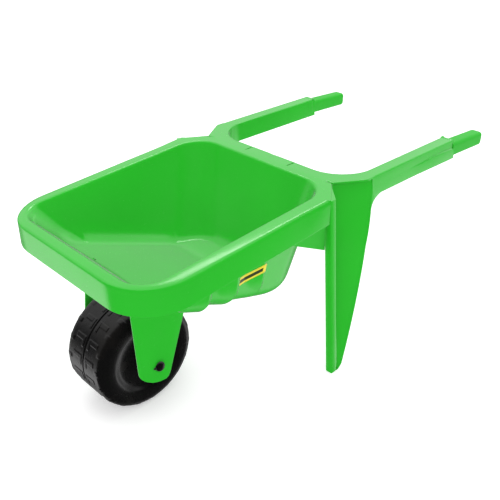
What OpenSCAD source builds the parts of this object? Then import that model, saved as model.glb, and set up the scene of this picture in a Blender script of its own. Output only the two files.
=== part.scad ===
// Child's plastic wheelbarrow: a sloping tub, a fork with one wide wheel,
// two splayed legs and two arms with closed grips.
// X runs from the wheel (-X) to the grips (+X), Z is up, Z = 0 is the ground.

/* [Overall] */
// Overall length from the front of the rim to the end of the grips
total_l = 750; // [735:5:765]
// Width over the rim
rim_w = 340; // [332:2:346]
// Height of the top of the rim at the front
front_h = 276; // [272:1:280]
// Rise of the rim towards the arms, in degrees
rim_rise = 3.48; // [3.2:0.04:3.6]
// Wall thickness of the mouldings
wall = 3; // [2.5:0.1:3.4]

/* [Tub] */
// Width of the opening of the tub
opening_w = 286; // [280:2:288]
// Length of the opening of the tub
opening_l = 340; // [334:2:342]
// Depth of the tub at its rear, square to the rim
tub_d = 150; // [140:2:152]
// Depth of the rolled edge that hangs from the rim
skirt_d = 38; // [34:1:42]
// Radius of the front corners of the rim
corner_r = 76; // [60:1:84]
// How far the stepped ribs stand out from the tub
rib_out = 6; // [3:0.5:7]

/* [Wheel] */
// Outer radius of the wheel over its tread blocks
wheel_r = 82.5; // [81:0.5:84]
// Width of the wheel over its tyre
wheel_w = 90; // [80:1:94]
// Number of tread blocks round each half
lugs = 18; // [18:6:30]
// Radius of the axle
axle_r = 4; // [3.5:0.1:4.4]
// Radial clearance between the axle and the bearing sleeve
axle_gap = 0.05; // [0.03:0.01:0.08]

/* [Legs and arms] */
// Distance between the outer edges of the feet
foot_w = 384; // [376:2:388]
// Width of an arm at its top
arm_w = 22; // [21:0.5:24]
// Depth of an arm
arm_d = 32; // [30:1:34]
// Length of a grip outside its arm
grip_l = 94; // [88:1:96]
// Width and height of a grip
grip_d = 25; // [24:0.5:26]

/* [Hidden] */
$fn = 64;

green = [0.18, 0.72, 0.18];
black = [0.10, 0.10, 0.10];

front_x = -total_l / 2;
split_x = -0.7;                    // rim ends and the arm frame begins here
leg_x = -43;                       // front face of the legs
wheel_x = -284;
half_w = rim_w / 2;
open_u = 21;                       // front of the opening, along the rim
deck_z = front_h + (split_x - front_x) * tan(rim_rise);
arm_end_x = total_l / 2 - grip_l;
sleeve_r = 7;
hub_end = 62;
cheek_y = 70;                      // outer face of a fork cheek
cheek_t = 3.5;
cheek_in = 64.5;                   // inner end of a cheek's boss
cheek_lean = 8;                    // the cheeks stand wider apart at the axle than at the tub
arm_out = 165;                     // outer side of an arm
leg_top = 300;
lean = (foot_w / 2 - half_w) / 294; // sideways splay of a leg per unit of height

// Points on an arc, from angle a0 to a1
function arc(cx, cy, r, a0, a1, n = 10) =
    [for (i = [0 : n]) [cx + r * cos(a0 + (a1 - a0) * i / n), cy + r * sin(a0 + (a1 - a0) * i / n)]];
// A half outline given for y > 0, closed by its mirror image
function both_sides(p) = concat(p, [for (i = [len(p) - 1 : -1 : 0]) [p[i][0], -p[i][1]]]);
// Outer face of a leg at height z
function leg_y(z) = foot_w / 2 - lean * z;
// Side wall of the tub (inside face) at depth w below the rim
function wall_y(w) = opening_w / 2 + 2 - 0.185 * w;
// Floor of the tub (inside face): depth below the rim at distance u from the front
function floor_w(u) = tub_d - 2 - (262 - u) * 0.357;
// Rear edge of a leg, from the foot up
leg_rear = [[-20, 0], [21, 112], [46, 220], [56, 300]];

// Frame of the rim: X along the rim from its front edge, Z square to it, Z = 0 on its top
module deck() {
    translate([front_x, 0, front_h]) rotate([0, -rim_rise, 0]) children();
}
// Frame of the arms: almost level, begins where the rim ends
module arm_frame() {
    translate([split_x, 0, deck_z]) rotate([0, 0.4, 0]) children();
}
// Everything is drawn for +Y, the right; the left is its mirror image
module left() {
    mirror([0, 1, 0]) children();
}
module both() {
    children();
    left() children();
}
// Space above the underside of the rim
module above_deck() {
    deck() translate([-50, -300, -wall]) cube([520, 600, 60]);
}

// ---- tub ----
module tub_top(grow) {
    u0 = open_u - grow;
    u1 = open_u + opening_l + grow;
    y = wall_y(wall) + grow;
    rf = 38 + grow;
    rr = 48 + grow;
    polygon(both_sides(concat(
        arc(u0 + rf, y - rf, rf, 180, 90),
        arc(u1 - rr, y - rr, rr, 90, 0))));
}
// A ball inside the tub wall that rounds a lower corner
module corner_ball(u, y, w, r) {
    for (s = [-1, 1]) translate([u, s * y, -w]) sphere(r, $fn = 32);
}
module tub_form(grow) {
    fw = 40;
    rw = tub_d - 26;
    hull() {
        translate([0, 0, -wall - 0.01]) linear_extrude(0.01) tub_top(grow);
        corner_ball(88, wall_y(fw) - 30.5, fw, 30 + grow);
        for (a = [0, 45, 90])
            corner_ball(262 + 35 * cos(a), wall_y(rw) - 60.5 + 35 * sin(a), rw, 25 + grow);
    }
}
// Thin slice across the tub with rounded lower corners, grown outwards
module rib_slice(u, grow) {
    w = floor_w(u) + wall + grow;
    y = wall_y(w) + wall + grow;
    r = 24;
    side = concat([[wall_y(34) + wall - 1, -34]], arc(y - r + 2, r - w, r, 0, -90, 6));
    translate([u, 0, 0]) rotate([90, 0, 90]) linear_extrude(0.5)
        polygon(concat(side, [for (i = [len(side) - 1 : -1 : 0]) [-side[i][0], side[i][1]]]));
}
module rib(u0, u1, extra = 0) {
    hull() {
        rib_slice(u0, extra - 2);
        rib_slice(u1 - 9, rib_out + extra);
        rib_slice(u1 - 4.5, rib_out - 1 + extra);
        rib_slice(u1 - 1.5, rib_out - 3.5 + extra);
        rib_slice(u1, extra - 2);
    }
}
module ribs(extra = 0) {
    for (u = [82, 133, 184]) rib(u, u + 52, extra);
}
module tub() {
    color(green) deck() difference() {
        union() {
            tub_form(wall);
            ribs();
        }
        tub_form(0);
        translate([0, -200, -wall]) cube([420, 400, 40]);
    }
}

// ---- rim ----
module rim_outline(inset) {
    y = half_w - inset;
    r = corner_r - inset;
    polygon(both_sides(concat(
        arc(corner_r, y - r, r, 180, 90, 16),
        [[333, y], [377, y - 35], [377, 0]])));
}
module skirt_outline(inset) {
    y = half_w - inset;
    r = corner_r - inset;
    polygon(both_sides(concat(arc(corner_r, y - r, r, 180, 90, 16), [[380, y]])));
}
module opening() {
    y = opening_w / 2;
    u1 = open_u + opening_l;
    polygon(both_sides(concat(
        arc(open_u + 38, y - 38, 38, 180, 90),
        arc(u1 - 48, y - 48, 48, 90, 0))));
}
module rim() {
    color(green) difference() {
        deck() {
            translate([0, 0, -wall]) linear_extrude(wall) difference() {
                rim_outline(0);
                opening();
            }
            translate([0, 0, -skirt_d]) linear_extrude(skirt_d - wall) difference() {
                skirt_outline(0);
                skirt_outline(wall);
            }
        }
        translate([leg_x, -250, 150]) cube([100, 500, deck_z - 150 - wall - 3.2]);
        deck() translate([333, -250, -60]) cube([60, 500, 60 - wall]);
        translate([split_x, -250, 200]) cube([60, 500, 150]);
    }
}

// ---- arm frame ----
module arm_corner() {
    polygon(concat(
        [[0, 46], [20, 46]],
        arc(80, 85, 60, 180, 90, 14),
        [[80, arm_out], [47, arm_out], [0, 136]]));
}
module arm_wall() {
    inner = arc(80, 85, 60, 180, 90, 14);
    outer = arc(80, 85, 60 + wall, 90, 180, 14);
    polygon(concat([[20, 46]], inner, outer, [[20 - wall, 46]]));
}
module arm_side() {
    polygon([[40, -wall], [80, -wall], [80, -arm_d], [75, -arm_d], [66, -arm_d - 5],
             [59, -arm_d - 13], [54, -arm_d - 26], [40, -arm_d - 26]]);
}
module leg_profile() {
    polygon(concat(leg_rear, [[-60, 300], [-60, 0]]));
}
module arm_section(t) {
    y0 = arm_out - arm_w + t;
    y1 = arm_out - t;
    polygon([[y0, -t], [y1, -t], [y1 + 2, t - arm_d], [y0 - 2, t - arm_d]]);
}
module arm_raw() {
    difference() {
        arm_frame() {
            translate([0, 0, -wall]) linear_extrude(wall) arm_corner();
            translate([0, 0, -28]) linear_extrude(28 - wall) arm_wall();
            translate([0, arm_out, 0]) rotate([90, 0, 0]) linear_extrude(wall) arm_side();
            translate([80, 0, 0]) rotate([90, 0, 90]) linear_extrude(220) arm_section(0);
        }
        arm_frame() translate([80 + wall, 0, 0]) rotate([90, 0, 90]) linear_extrude(230) arm_section(wall);
        translate([arm_end_x, 100, 200]) cube([60, 100, 150]);
        translate([split_x - 20, 0, 200]) cube([20, 250, 150]);
        translate([0, 250, 0]) rotate([90, 0, 0]) linear_extrude(110) leg_profile_low();
    }
}
// The part of the leg's side view that lies under the arm's top
module leg_profile_low() {
    difference() {
        leg_profile();
        translate([-100, deck_z - wall - 0.4]) square([200, 40]);
    }
}
module left_arm() {
    color(green) left() arm_raw();
}
module right_arm() {
    color(green) arm_raw();
}
module rear_bridge() {
    color(green) difference() {
        arm_frame() {
            translate([-5, -46, -wall]) cube([25, 92, wall]);
            translate([20 - wall, -46, -28]) cube([wall, 92, 28 - wall]);
        }
        translate([split_x - 20, -100, 200]) cube([20, 200, 150]);
    }
}

// ---- grips ----
module grip_section(t) {
    r = 7 - t;
    h = grip_d / 2 - t;
    polygon(concat(
        arc(h - r, h - r, r, 0, 90, 6), arc(r - h, h - r, r, 90, 180, 6),
        arc(r - h, r - h, r, 180, 270, 6), arc(h - r, r - h, r, 270, 360, 6)));
}
module grip_raw() {
    difference() {
        translate([arm_end_x, arm_out - arm_w / 2 + 2, deck_z - 19]) rotate([0, 3, 0])
            hull() {
                translate([-6, 0, 0]) rotate([90, 0, 90]) linear_extrude(grip_l - 4) grip_section(0);
                translate([grip_l - 5, 0, 0]) rotate([90, 0, 90]) linear_extrude(3) grip_section(2);
                translate([grip_l - 1, 0, 0]) rotate([90, 0, 90]) linear_extrude(0.9) grip_section(6);
            }
        translate([arm_end_x - 30, 100, 200]) cube([30, 120, 150]);
    }
    translate([arm_end_x - 24, arm_out - arm_w + wall + 1.5, deck_z - 25]) cube([24, 13, 18]);
}
module left_grip() {
    color(green) left() grip_raw();
}
module right_grip() {
    color(green) grip_raw();
}

// ---- legs ----
// Deepest line of the scoop in a leg, at height z
function scoop(z) = [1 - 29 * (1 - z / 294), 133.5 + (foot_w / 2 - 137) * (1 - z / 294)];
module stick(x, y, z) {
    translate([x, y, z]) cylinder(r = 1.75, h = 0.01, $fn = 16);
}
// Section of the flange along the leg's rear edge
module lip_end(p, inset) {
    translate([p[0] - 4 + inset, leg_y(p[1]) - 7 + inset, p[1]]) cube([4 - 2 * inset, 7 - 5 * inset, 0.01]);
}
module leg_raw() {
    difference() {
        union() {
            translate([leg_x, 0, 0]) rotate([90, 0, 90]) linear_extrude(11)
                polygon([[leg_y(0), 0], [leg_y(0) - 12, 0], [leg_y(leg_top) - 12, leg_top],
                         [leg_y(leg_top), leg_top]]);
            hull() {
                stick(-34, leg_y(0) - 2.6, 0);
                stick(scoop(0)[0], scoop(0)[1], 0);
                stick(-34, leg_y(leg_top) - 2.6, leg_top);
                stick(scoop(leg_top)[0], scoop(leg_top)[1], leg_top);
            }
            for (i = [0 : 2]) {
                a = leg_rear[i];
                b = leg_rear[i + 1];
                hull() {
                    stick(scoop(a[1])[0], scoop(a[1])[1], a[1]);
                    stick(scoop(b[1])[0], scoop(b[1])[1], b[1]);
                    lip_end(a, 0.6);
                    lip_end(b, 0.6);
                }
                hull() {
                    lip_end(a, 0);
                    lip_end(b, 0);
                }
            }
        }
        above_deck();
        arm_frame() translate([0, 0, -wall]) cube([100, 250, 60]);
        translate([-100, 100, -20]) cube([300, 150, 20]);
    }
}
module left_leg() {
    color(green) left() leg_raw();
}
module right_leg() {
    color(green) leg_raw();
}

// ---- gussets between the rim and the legs ----
module gusset_raw() {
    difference() {
        translate([0, 164, 0]) rotate([90, 0, 0]) linear_extrude(4)
            polygon([[-118, 300], [-118, 252], [leg_x, 214], [leg_x, 300]]);
        above_deck();
    }
}
module left_gusset() {
    color(green) left() gusset_raw();
}
module right_gusset() {
    color(green) gusset_raw();
}

// ---- fork ----
module cheek_outline() {
    polygon([[-313, 240], [-316, 200], [-319, 80], [-310, 69], [-298, 61], [-284, 57], [-273, 57],
             [-267, 64], [-227, 146], [-216, 172], [-214, 240]]);
}
module cheek_raw() {
    difference() {
        union() {
            translate([0, cheek_y, wheel_r]) rotate([cheek_lean, 0, 0]) translate([0, 0, -wheel_r])
                rotate([90, 0, 0]) linear_extrude(cheek_t) cheek_outline();
            translate([wheel_x, cheek_in, wheel_r]) rotate([-90, 0, 0]) cylinder(r = 11, h = 6);
        }
        deck() {
            tub_form(wall);
            ribs();
        }
        translate([wheel_x - 20, cheek_y, wheel_r - 60]) cube([40, 20, 80]);
        translate([wheel_x, cheek_y - 20, wheel_r]) rotate([-90, 0, 0]) cylinder(r = axle_r, h = 40);
    }
}
module left_fork_cheek() {
    color(green) left() cheek_raw();
}
module right_fork_cheek() {
    color(green) cheek_raw();
}

// ---- axle ----
module on_axle() {
    translate([wheel_x, 0, wheel_r]) rotate([-90, 0, 0]) children();
}
module axle() {
    color("silver") on_axle() translate([0, 0, -72]) cylinder(r = axle_r, h = 144);
}
module cap_raw() {
    on_axle() difference() {
        union() {
            translate([0, 0, cheek_y]) cylinder(r = 7.5, h = 2.5);
            translate([0, 0, cheek_y + 2.5]) rotate_extrude()
                polygon(concat([[0, 0]], [for (a = [0 : 15 : 90]) [7 * cos(a), 3 * sin(a)]]));
            translate([-10, -1.5, cheek_y]) cube([4, 3, 1.2]);
        }
        translate([0, 0, cheek_y - 1]) cylinder(r = axle_r, h = 3);
    }
}
module left_axle_cap() {
    color(black) left() cap_raw();
}
module right_axle_cap() {
    color(black) cap_raw();
}
module spacer_raw() {
    y0 = hub_end + 0.5;
    on_axle() translate([0, 0, y0]) difference() {
        cylinder(r = 9.5, h = cheek_in - y0);
        translate([0, 0, -1]) cylinder(r = axle_r, h = 10);
    }
}
module left_spacer() {
    color("ivory") left() spacer_raw();
}
module right_spacer() {
    color("ivory") spacer_raw();
}

// ---- wheel ----
base_r = wheel_r - 1.8;
side_y = wheel_w / 2;
disc_y = side_y - 7;
module wheel_profile() {
    polygon(concat(
        [[base_r - 3, 0], [base_r - 1.6, 0], [base_r - 1.6, 0.8], [base_r, 1.6], [base_r, side_y - 12]],
        arc(base_r - 12, side_y - 12, 12, 0, 90, 8),
        [[62, side_y], [58, side_y - 1], [54, disc_y], [16, disc_y], [13, disc_y + 3], [12, hub_end],
         [sleeve_r, hub_end], [sleeve_r, 0], [11, 0], [11, disc_y - wall], [55, disc_y - wall],
         [59, side_y - 4], [base_r - 13, side_y - 3.2]],
        arc(base_r - 13, side_y - 13, 10, 80, 0, 5)));
}
module half_raw(turn) {
    on_axle() {
        rotate_extrude($fn = 96) wheel_profile();
        for (i = [0 : lugs - 1]) rotate([0, 0, 90 + turn + i * 360 / lugs]) {
            translate([base_r - 2.2, -8, 9]) cube([wheel_r - base_r + 2.2, 7, 16]);
            translate([base_r - 2.2, -8, 4]) cube([wheel_r - base_r + 2.2, 16, 5]);
        }
    }
}
module wheel_left_half() {
    color(black) left() half_raw(0);
}
module wheel_right_half() {
    color(black) half_raw(0);
}
module wheel_sleeve() {
    color("ivory") on_axle() translate([0, 0, -hub_end]) difference() {
        cylinder(r = sleeve_r, h = 2 * hub_end);
        translate([0, 0, -1]) cylinder(r = axle_r + axle_gap, h = 2 * hub_end + 2);
    }
}
module wheel_pegs() {
    h = disc_y - wall;
    color(black) on_axle() for (i = [0 : 3]) rotate([0, 0, 45 + 90 * i])
        translate([36, 0, -h]) cylinder(r = 4, h = 2 * h);
}

// ---- label ----
module label() {
    color([0.95, 0.87, 0.15]) deck() difference() {
        intersection() {
            translate([209, -110, -86]) rotate([90, 0, 0]) linear_extrude(60)
                polygon([[-29, -10], [-26, -12], [23, -8], [27, -4], [29, 9], [26, 11], [-23, 7], [-27, 3]]);
            union() {
                tub_form(wall + 0.6);
                ribs(0.6);
            }
        }
        ribs();
        tub_form(wall);
    }
}

tub();
rim();
rear_bridge();
left_arm();
right_arm();
left_grip();
right_grip();
left_leg();
right_leg();
left_gusset();
right_gusset();
left_fork_cheek();
right_fork_cheek();
axle();
left_axle_cap();
right_axle_cap();
left_spacer();
right_spacer();
wheel_left_half();
wheel_right_half();
wheel_sleeve();
wheel_pegs();
label();
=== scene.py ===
"""Builds the finished look of a child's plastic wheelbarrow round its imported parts.

Every piece is a surface worked out with numpy, in millimetres, and is put into its mesh in metres.
X runs from the wheel (-X) to the grips (+X), Z is up, and the ground is Z = 0.
"""

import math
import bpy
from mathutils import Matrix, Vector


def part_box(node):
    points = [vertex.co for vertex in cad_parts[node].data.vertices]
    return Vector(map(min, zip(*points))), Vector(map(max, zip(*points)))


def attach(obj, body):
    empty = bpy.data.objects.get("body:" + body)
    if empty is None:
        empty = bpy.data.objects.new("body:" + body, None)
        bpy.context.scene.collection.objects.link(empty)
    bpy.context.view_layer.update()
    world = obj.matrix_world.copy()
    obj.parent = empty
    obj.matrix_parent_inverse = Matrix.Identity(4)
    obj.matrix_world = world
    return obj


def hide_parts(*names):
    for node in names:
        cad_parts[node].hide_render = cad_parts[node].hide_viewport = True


bl_info = {
    "name": "Toy Wheelbarrow",
    "version": (1, 0, 0),
    "blender": (4, 5, 0),
    "location": "View3D > Sidebar > Wheelbarrow",
    "description": "Builds a child's plastic wheelbarrow piece by piece, with its finishes and a studio",
    "category": "Add Mesh",
}

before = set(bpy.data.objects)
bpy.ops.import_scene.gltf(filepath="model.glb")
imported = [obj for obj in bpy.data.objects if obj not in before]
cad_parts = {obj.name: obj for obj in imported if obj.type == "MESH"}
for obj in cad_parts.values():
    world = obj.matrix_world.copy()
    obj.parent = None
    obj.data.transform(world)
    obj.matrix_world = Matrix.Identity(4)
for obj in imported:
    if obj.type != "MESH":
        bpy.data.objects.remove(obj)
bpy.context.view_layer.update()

import bmesh
import bpy
import numpy as np
from mathutils import Matrix, Vector


def node_box(name):
    """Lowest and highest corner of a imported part, in millimetres."""
    lo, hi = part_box(name)
    return np.array(lo) * 1000, np.array(hi) * 1000


RIM_LO, RIM_HI = node_box("rim")
LEG_LO, LEG_HI = node_box("right_leg")
GRIP_LO, GRIP_HI = node_box("right_grip")
ARM_LO, ARM_HI = node_box("right_arm")
AXLE_LO, AXLE_HI = node_box("axle")
WHEEL_LO, WHEEL_HI = node_box("wheel_right_half")

FRONT_X, SPLIT_X, HALF_W, DECK_Z = RIM_LO[0], RIM_HI[0], RIM_HI[1], RIM_HI[2]
RISE = math.radians(3.48)
FRONT_H = DECK_Z - (SPLIT_X - FRONT_X) * math.tan(RISE)
ARM_DROP = math.radians(0.4)
ARM_END = ARM_HI[0]
LEG_X = LEG_LO[0]
FOOT_Y = LEG_HI[1]
LEG_TOP = 294
LEAN = (FOOT_Y - HALF_W) / LEG_TOP
WHEEL_X = (WHEEL_LO[0] + WHEEL_HI[0]) / 2
WHEEL_Z = (WHEEL_LO[2] + WHEEL_HI[2]) / 2
WHEEL_R = (WHEEL_HI[2] - WHEEL_LO[2]) / 2


# ---- sizes and colours a user would change ----


def length(name, text, value, low, high):
    """A length property, in metres, whose default is given in millimetres."""
    return bpy.props.FloatProperty(
        name=name, description=text, default=value / 1000, min=low / 1000, max=high / 1000,
        unit="LENGTH", subtype="DISTANCE")


def colour(name, text, value):
    """A colour property."""
    return bpy.props.FloatVectorProperty(
        name=name, description=text, default=value, size=3, min=0, max=1, subtype="COLOR")


class WheelbarrowSizes(bpy.types.PropertyGroup):
    """Sizes of the mouldings, the fork and the wheel."""

    wall: length("Wall", "Thickness of the mouldings", 3, 2.5, 3.4)
    lip_r: length("Lip radius", "Rounding of the tub's inner lip", 9, 3, 12)
    crease_r: length("Edge radius", "Rounding where the rim turns down", 8, 2, 10)
    corner_r: length("Corner radius", "Front corners of the rim in plan", 76, 60, 84)
    skirt: length("Rim depth", "Depth of the rolled edge of the rim", 38, 34, 42)
    draft: length("Rim draft", "How far the top of the rim's edge stands in from its bottom", 2.6, 0, 4)
    rib_out: length("Rib height", "How far the stepped ribs stand out of the tub", 6, 3, 7)
    arm_w: length("Arm width", "Width of an arm at its top", 22, 21, 24)
    arm_d: length("Arm depth", "Depth of an arm", 32, 30, 34)
    grip_d: length("Grip size", "Width and height of a grip", 25, 24, 26)
    tyre_w: length("Wheel width", "Width of the wheel over its tyre", 90, 80, 94)
    tread: length("Tread height", "Height of the tread blocks", 0.8, 0.5, 3)
    lugs: bpy.props.IntProperty(name="Tread blocks", description="Tread blocks round each half",
                                default=18, min=6, max=30)


class WheelbarrowFinish(bpy.types.PropertyGroup):
    """Colours and gloss of the plastics, the axle and the label."""

    green: colour("Green plastic", "Colour of the moulded green plastic", (0.018, 0.465, 0.019))
    black: colour("Black plastic", "Colour of the wheel and the axle caps", (0.004, 0.004, 0.004))
    steel: colour("Steel", "Colour of the axle", (0.56, 0.57, 0.58))
    pale: colour("Pale plastic", "Colour of the sleeve and the spacers", (0.72, 0.70, 0.63))
    label: colour("Label", "Ground colour of the side label", (0.80, 0.70, 0.03))
    ink: colour("Label ink", "Colour of the label's bar and outline", (0.03, 0.05, 0.01))
    gloss: bpy.props.FloatProperty(name="Roughness", description="Roughness of the green plastic",
                                   default=0.2, min=0.05, max=0.6, subtype="FACTOR")


def mm(name):
    """A size property in millimetres."""
    return getattr(bpy.context.scene.wheelbarrow_sizes, name) * 1000


# ---- frames ----


def on_deck(u, y, w):
    """Rim frame to the row frame: u along the rim from its front edge, w square to it, 0 on its top."""
    c, s = math.cos(RISE), math.sin(RISE)
    return xyz(FRONT_X + u * c - w * s, y, FRONT_H + u * s + w * c)


def on_arms(u, y, w):
    """Arm frame to the row frame: almost level, it begins where the rim ends."""
    c, s = math.cos(ARM_DROP), math.sin(ARM_DROP)
    return xyz(SPLIT_X + u * c + w * s, y, DECK_Z - u * s + w * c)


# ---- surfaces ----


def smooth(x, low, high):
    """0 below low, 1 above high, and a smooth S between."""
    t = np.clip((x - low) / (high - low), 0, 1)
    return t * t * (3 - 2 * t)


def runs(*stretches):
    """One list of numbers from stretches (start, end, steps) that follow each other."""
    parts = [np.linspace(a, b, n + 1)[:-1] for a, b, n in stretches]
    return np.concatenate([*parts, [stretches[-1][1]]])


def xyz(x, y, z):
    """Points from their three coordinates, each a number or an array."""
    return np.stack(np.broadcast_arrays(x, y, z), -1)


def unit(v):
    """Vectors scaled to length 1."""
    return v / np.maximum(np.linalg.norm(v, axis=-1, keepdims=True), 1e-9)


def fillet(keys, cut, n=4):
    """Closed outlines whose corners become curves: each corner is left out from cut before it to cut
    after it, and a quadratic curve that pulls towards the corner joins the two ends. keys holds the
    corners, as (sections, corners, 3)."""
    before, after = np.roll(keys, 1, 1) - keys, np.roll(keys, -1, 1) - keys
    room = 0.49 * np.minimum(np.linalg.norm(before, axis=-1), np.linalg.norm(after, axis=-1))
    c = np.minimum(np.broadcast_to(cut, room.shape), room)[..., None]
    a, b = keys + unit(before) * c, keys + unit(after) * c
    t = np.linspace(0, 1, n + 1)[:, None]
    pts = (1 - t) ** 2 * a[:, :, None] + 2 * t * (1 - t) * keys[:, :, None] + t**2 * b[:, :, None]
    return pts.reshape(len(keys), -1, 3)


def inset(outline, d):
    """A closed flat outline moved inwards by d: each point goes square to the line of its neighbours."""
    along = unit(np.roll(outline, -1, 0) - np.roll(outline, 1, 0))
    normal = np.stack([-along[:, 1], along[:, 0]], -1)
    turn = outline - np.roll(outline, 1, 0)
    area = (outline[:, 0] * np.roll(turn, -1, 0)[:, 1] - outline[:, 1] * np.roll(turn, -1, 0)[:, 0]).sum()
    return outline + normal * d * (1 if area > 0 else -1)


def sheet_faces(n, m, close_n=False, close_m=True):
    """Four-sided faces between the points of an n by m grid, which may close on itself either way."""
    i = np.arange(n if close_n else n - 1)[:, None]
    j = np.arange(m if close_m else m - 1)[None, :]
    i2, j2 = (i + 1) % n, (j + 1) % m
    return np.stack([i * m + j, i2 * m + j, i2 * m + j2, i * m + j2], -1).reshape(-1, 4)


def whole(grid):
    """The y >= 0 half of a grid of columns, joined with its mirror image into a closed round."""
    return np.concatenate([grid, (grid * [1, -1, 1])[-2:0:-1]])


def lathe(r, y):
    """Points of an outline of radius and width turned round the wheel's axle, for the caps and bosses."""
    turn = np.linspace(0, 2 * math.pi, 49)[:-1]
    r, y = r[:, None], y[:, None]
    return xyz(WHEEL_X + r * np.cos(turn), y, WHEEL_Z + r * np.sin(turn))


def dress(mesh, sharp, merge=True):
    """Turns the faces outwards and smooths them, but keeps the edges over sharp degrees. merge joins
    the points that meet."""
    bm = bmesh.new()
    bm.from_mesh(mesh)
    if merge:
        bmesh.ops.remove_doubles(bm, verts=bm.verts, dist=2e-6)
        bmesh.ops.dissolve_degenerate(bm, edges=bm.edges, dist=1e-6)
    bmesh.ops.recalc_face_normals(bm, faces=bm.faces)
    bm.to_mesh(mesh)
    bm.free()
    mesh.polygons.foreach_set("use_smooth", np.ones(len(mesh.polygons), bool))
    mesh.set_sharp_from_angle(angle=math.radians(sharp))


class Shape:
    """Grids of points joined into one mesh."""

    def __init__(self):
        self.points, self.faces, self.count = [], [], 0

    def sheet(self, grid, close_n=False, close_m=True, ends=False):
        """Adds a grid (n, m, 3). ends closes its first and last row with one face each."""
        n, m = grid.shape[:2]
        self.faces += (sheet_faces(n, m, close_n, close_m) + self.count).tolist()
        if ends:
            self.faces.append([self.count + j for j in range(m)])
            self.faces.append([self.count + (n - 1) * m + j for j in range(m)])
        self.points.append(grid.reshape(-1, 3))
        self.count += n * m
        return self

    def mirror(self):
        """Turns the whole shape into its mirror image in Y."""
        self.points = [p * [1, -1, 1] for p in self.points]
        return self

    def build(self, name, material, body, slot, *nodes, sharp=35):
        """Makes the object from the grids, in metres."""
        mesh = bpy.data.meshes.new(name)
        mesh.from_pydata((np.concatenate(self.points) / 1000).tolist(), [], self.faces)
        dress(mesh, sharp)
        return place(name, mesh, material, body, slot, *nodes)


def place(name, mesh, material, body, slot, *nodes):
    """Links a mesh as a finished piece on its body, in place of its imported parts."""
    piece = bpy.data.objects.new(name, mesh)
    bpy.context.scene.collection.objects.link(piece)
    mesh.materials.append(material)
    piece.visible_glossy = False
    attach(piece, body)
    if nodes:
        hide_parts(*nodes)
    return piece


def both_sides(make, name, look, body, slot, node, sharp=35):
    """Builds the shape as the right-hand piece and its mirror image as the left-hand one. In the names
    of the piece and its node, {} stands for the side."""
    for side in ("left", "right"):
        shape = make()
        if side == "left":
            shape.mirror()
        shape.build(name.format(side), finish(look), body, slot, node.format(side), sharp=sharp)


# ---- finishes ----


class Wire:
    """A shader socket that can be written in a sum."""

    def __init__(self, graph, socket):
        self.graph, self.socket = graph, socket

    def _maths(self, kind, a, b):
        return self.graph.node("ShaderNodeMath", {"operation": kind}, {0: a, 1: b})

    def __add__(self, other):
        return self._maths("ADD", self, other)

    __radd__ = __add__

    def __mul__(self, other):
        return self._maths("MULTIPLY", self, other)

    def __sub__(self, other):
        return self._maths("SUBTRACT", self, other)

    def __rsub__(self, other):
        return self._maths("SUBTRACT", other, self)

    def __abs__(self):
        return self._maths("ABSOLUTE", self, 0)

    def over(self, low, high):
        """Smooth step of the value from low to high."""
        return self.graph.node("ShaderNodeMapRange", {"interpolation_type": "SMOOTHSTEP"},
                               {"Value": self, "From Min": low, "From Max": high})


class Graph:
    """The nodes of a material or of the world."""

    def __init__(self, owner):
        owner.use_nodes = True
        self.nodes, self.links = owner.node_tree.nodes, owner.node_tree.links

    def node(self, kind, settings=(), inputs=(), out=0):
        """Adds a node: its settings are made first, then each socket gets a number or a wire."""
        made = self.nodes.new(kind)
        for key, value in dict(settings).items():
            setattr(made, key, value)
        for key, value in dict(inputs).items():
            self._feed(made.inputs[key], value)
        return Wire(self, made.outputs[out])

    def _feed(self, socket, value):
        if isinstance(value, Wire):
            self.links.new(value.socket, socket)
        else:
            socket.default_value = value


class Finish(Graph):
    """A node-based material with one Principled shader."""

    def __init__(self, name, **constants):
        self.material = bpy.data.materials.new("finish_" + name)
        super().__init__(self.material)
        self.shader = self.nodes["Principled BSDF"]
        self.set(**constants)

    def set(self, **sockets):
        """Feeds the shader's sockets, whose names are written with _ for a space."""
        for key, value in sockets.items():
            self._feed(self.shader.inputs[key.replace("_", " ")], value)
        return self

    def place(self, scale=(1, 1, 1), at="Object"):
        """The piece's own coordinates, stretched by a Mapping node."""
        where = self.node("ShaderNodeTexCoord", out=at)
        return self.node("ShaderNodeMapping", {}, {"Vector": where, "Scale": scale})

    def noise(self, scale, detail=3, stretch=(1, 1, 1)):
        """Cloudy noise from 0 to 1, at scale clouds a metre."""
        return self.node("ShaderNodeTexNoise", {"noise_dimensions": "3D"},
                         {"Vector": self.place(stretch), "Scale": scale, "Detail": detail})

    def mix(self, amount, a, b):
        """Colour a at amount 0 and colour b at amount 1."""
        made = self.nodes.new("ShaderNodeMix")
        made.data_type = "RGBA"
        sockets = [s for s in made.inputs if s.enabled]
        for socket, value in zip(sockets, (amount, a, b)):
            self._feed(socket, value)
        return Wire(self, next(s for s in made.outputs if s.enabled))

    def bump(self, height, strength, distance):
        """A bump from a height, which feeds the shader's normal."""
        made = self.node("ShaderNodeBump", {},
                         {"Strength": strength, "Distance": distance, "Height": height})
        return self.set(Normal=made)


def rgba(value, gain=1.0):
    """A colour with its alpha, made lighter or darker by gain."""
    return (*[min(1.0, c * gain) for c in value], 1.0)


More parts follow.
